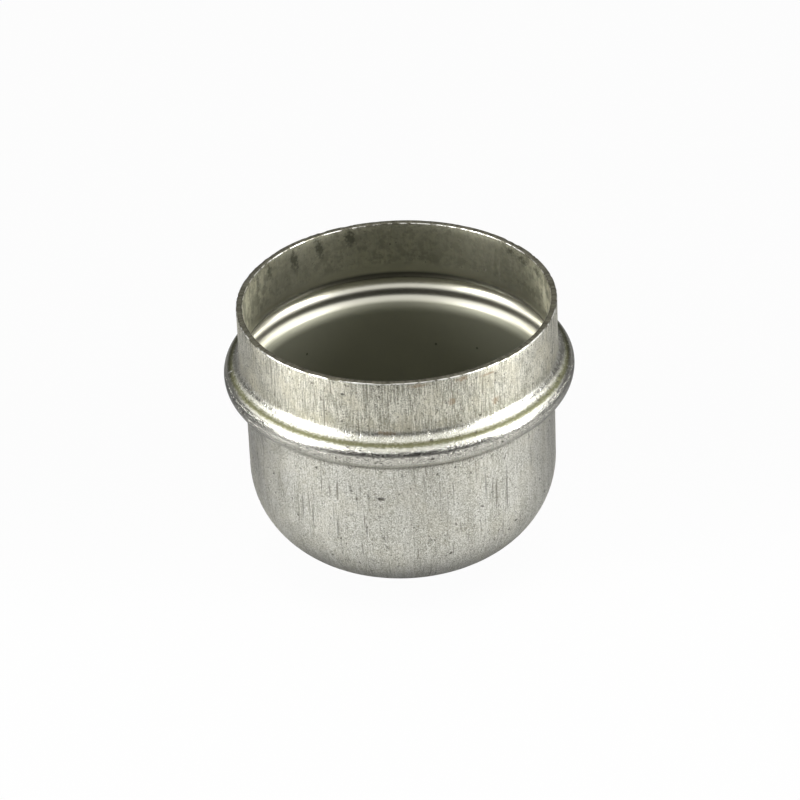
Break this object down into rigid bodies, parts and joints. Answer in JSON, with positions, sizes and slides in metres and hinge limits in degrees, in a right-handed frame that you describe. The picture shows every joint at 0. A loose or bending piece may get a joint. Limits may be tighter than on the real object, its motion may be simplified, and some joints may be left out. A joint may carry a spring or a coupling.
{
  "type": "wheel hub grease cap",
  "caption": "Round drawn-steel grease cap for a wheel hub: a cup with a closed rounded end, a rolled bead and a plain spigot that is driven into the hub.",
  "frame": {"origin": "centre of the closed end's outer face, on the cap's axis", "axes": "+Z along the cap's axis, out of the open mouth; X and Y are free, because the cap is round"},
  "size_m": [0.0554, 0.0554, 0.0429],
  "materials": {
    "plated_steel": "satin zinc plate, handled and lightly stained"
  },
  "bodies": {
    "root": {"grease_cap": "plated_steel"}
  },
  "joints": []
}
